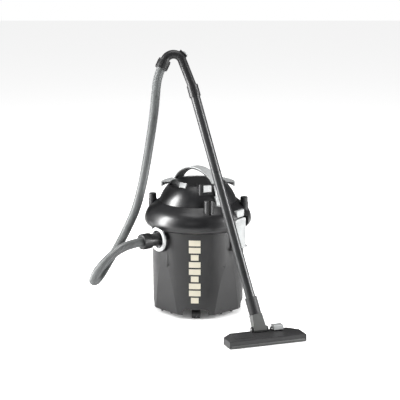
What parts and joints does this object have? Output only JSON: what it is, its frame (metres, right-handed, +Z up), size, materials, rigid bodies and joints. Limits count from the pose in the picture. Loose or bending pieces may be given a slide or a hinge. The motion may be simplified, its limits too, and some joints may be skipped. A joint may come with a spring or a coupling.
{
  "type": "drum vacuum cleaner",
  "caption": "Drum vacuum cleaner on castors with lift-off motor head, carry handle, toggle latches, swivelling hose cuffs, ribbed hose, bent grip, wand and floor nozzle.",
  "frame": {"origin": "point on the floor under the drum's axis", "axes": "+Z up, -Y is the front with the switch and front post, +X to the right seen from the front"},
  "size_m": [0.7315, 0.6704, 0.9291],
  "materials": {
    "tank_plastic": "fine satin grain",
    "gloss_black": "gloss",
    "black_plastic": "satin",
    "silver_plastic": "silver paint under clear coat",
    "light_grey_plastic": "satin",
    "mid_grey_plastic": "satin",
    "rubber": "matte",
    "steel": "zinc plated",
    "motor_iron": "varnished",
    "filter_cloth": "woven",
    "hose_plastic": "ribbed",
    "tube_plastic": "satin",
    "bristle": "nylon bristle"
  },
  "bodies": {
    "drum": {"drum_tank": "tank_plastic", "rim_gasket": "rubber", "inlet_flange": "black_plastic", "inlet_ring": "silver_plastic", "inlet_deflector": "black_plastic", "inlet_screws": "steel", "latch_pins": "steel", "hose": "hose_plastic"},
    "head": {"lid_ring": "gloss_black", "motor_deck": "black_plastic", "head_cover": "gloss_black", "cover_screws": "steel", "exhaust_grille": "black_plastic", "exhaust_tab": "light_grey_plastic", "cable_wrap": "light_grey_plastic", "cable_gland": "black_plastic", "accessory_posts": "black_plastic", "front_post": "black_plastic", "handle_shell": "light_grey_plastic", "handle_liner": "black_plastic", "handle_screws": "steel", "latch_keepers": "light_grey_plastic", "switch_housing": "black_plastic", "motor_gasket": "rubber", "motor_case": "black_plastic", "motor_stator": "motor_iron", "filter_cage": "black_plastic", "filter_sleeve": "filter_cloth", "filter_nut": "black_plastic"},
    "right_latch": {"latch_right": "light_grey_plastic"},
    "left_latch": {"latch_left": "light_grey_plastic"},
    "switch": {"switch_rocker": "silver_plastic"},
    "fan": {"motor_shaft": "steel", "impeller": "black_plastic"},
    "float": {"float_ball": "mid_grey_plastic"},
    "inlet_swivel_cuff": {"inlet_cuff": "black_plastic"},
    "wand": {"wand_grip": "black_plastic", "wand_tube": "tube_plastic", "wand_socket": "black_plastic", "nozzle_neck": "mid_grey_plastic"},
    "grip_swivel_cuff": {"grip_cuff": "black_plastic"},
    "slider": {"suction_slider": "light_grey_plastic"},
    "nozzle": {"nozzle_shell": "black_plastic", "nozzle_sole": "mid_grey_plastic", "neck_pins": "steel", "pedal_pin": "steel", "nozzle_axles": "steel"},
    "pedal": {"pedal": "light_grey_plastic"},
    "brushes": {"brush_strips": "bristle"},
    "nozzle_wheel_pair": {"nozzle_wheels": "rubber"},
    "castor_front": {"castor_fork_front": "black_plastic"},
    "castor_front_wheels": {"castor_wheels_front": "rubber"},
    "castor_right": {"castor_fork_right": "black_plastic"},
    "castor_right_wheels": {"castor_wheels_right": "rubber"},
    "castor_back": {"castor_fork_back": "black_plastic"},
    "castor_back_wheels": {"castor_wheels_back": "rubber"},
    "castor_left": {"castor_fork_left": "black_plastic"},
    "castor_left_wheels": {"castor_wheels_left": "rubber"}
  },
  "joints": [
    {"name": "head_lift", "type": "slide", "parent": "drum", "child": "head", "axis": [0, 0, 1], "range_m": [0, 0.15]},
    {"name": "latch_right_open", "type": "hinge", "parent": "drum", "child": "right_latch", "pos_m": [0.14425, -0.09368, 0.243], "axis": [0.5446, 0.8387, 0], "range_deg": [0, 40]},
    {"name": "latch_left_open", "type": "hinge", "parent": "drum", "child": "left_latch", "pos_m": [-0.14425, 0.09368, 0.243], "axis": [-0.5446, -0.8387, 0], "range_deg": [0, 40]},
    {"name": "castor_front_swivel", "type": "hinge", "parent": "drum", "child": "castor_front", "pos_m": [-0.00691, -0.13182, 0.04], "axis": [0, 0, 1], "continuous": true},
    {"name": "castor_front_roll", "type": "hinge", "parent": "castor_front", "child": "castor_front_wheels", "pos_m": [-0.00649, -0.12383, 0.017], "axis": [0.9986, -0.0523, 0], "continuous": true},
    {"name": "castor_right_swivel", "type": "hinge", "parent": "drum", "child": "castor_right", "pos_m": [0.13182, -0.00691, 0.04], "axis": [0, 0, 1], "continuous": true},
    {"name": "castor_right_roll", "type": "hinge", "parent": "castor_right", "child": "castor_right_wheels", "pos_m": [0.12383, -0.00649, 0.017], "axis": [0.0523, 0.9986, 0], "continuous": true},
    {"name": "castor_back_swivel", "type": "hinge", "parent": "drum", "child": "castor_back", "pos_m": [0.00691, 0.13182, 0.04], "axis": [0, 0, 1], "continuous": true},
    {"name": "castor_back_roll", "type": "hinge", "parent": "castor_back", "child": "castor_back_wheels", "pos_m": [0.00649, 0.12383, 0.017], "axis": [-0.9986, 0.0523, 0], "continuous": true},
    {"name": "castor_left_swivel", "type": "hinge", "parent": "drum", "child": "castor_left", "pos_m": [-0.13182, 0.00691, 0.04], "axis": [0, 0, 1], "continuous": true},
    {"name": "castor_left_roll", "type": "hinge", "parent": "castor_left", "child": "castor_left_wheels", "pos_m": [-0.12383, 0.00649, 0.017], "axis": [-0.0523, -0.9986, 0], "continuous": true},
    {"name": "switch_rock", "type": "hinge", "parent": "head", "child": "switch", "pos_m": [0.03004, -0.10478, 0.454], "axis": [0.9613, 0.2756, 0], "range_deg": [0, 12]},
    {"name": "fan_spin", "type": "hinge", "parent": "head", "child": "fan", "pos_m": [0, 0, 0.35], "axis": [0, 0, 1], "continuous": true},
    {"name": "float_rise", "type": "slide", "parent": "head", "child": "float", "axis": [0, 0, 1], "range_m": [0, 0.09]},
    {"name": "inlet_swivel", "type": "hinge", "parent": "drum", "child": "inlet_swivel_cuff", "pos_m": [-0.14375, -0.10833, 0.276], "axis": [-0.7986, -0.6018, 0], "continuous": true},
    {"name": "wand_tilt", "type": "hinge", "parent": "drum", "child": "wand", "pos_m": [0.203, -0.362, 0.034], "axis": [0.9397, 0.342, 0], "range_deg": [0, 30], "deforming": ["hose"]},
    {"name": "nozzle_level", "type": "hinge", "parent": "wand", "child": "nozzle", "pos_m": [0.203, -0.362, 0.034], "axis": [0.9397, 0.342, 0], "range_deg": [-30, 0]},
    {"name": "grip_swivel", "type": "hinge", "parent": "wand", "child": "grip_swivel_cuff", "pos_m": [-0.11035, -0.10364, 0.8952], "axis": [-0.4099, -0.2621, -0.8737], "continuous": true},
    {"name": "suction_slide", "type": "slide", "parent": "wand", "child": "slider", "axis": [-0.7071, 0.2032, 0.6773], "range_m": [0, 0.008]},
    {"name": "pedal_rock", "type": "hinge", "parent": "nozzle", "child": "pedal", "pos_m": [0.25917, -0.33517, 0.031], "axis": [0.9397, 0.342, 0], "range_deg": [0, 9]},
    {"name": "brush_lift", "type": "slide", "parent": "nozzle", "child": "brushes", "axis": [0, 0, 1], "range_m": [0, 0.005]},
    {"name": "nozzle_roll", "type": "hinge", "parent": "nozzle", "child": "nozzle_wheel_pair", "pos_m": [0.2028, -0.36158, 0.008], "axis": [0.9397, 0.342, 0], "continuous": true}
  ],
  "couplings": [
    {"joint": "nozzle_level", "follows": "wand_tilt", "ratio": -1},
    {"joint": "brush_lift", "follows": "pedal_rock", "m_per_rad": 0.03183}
  ]
}
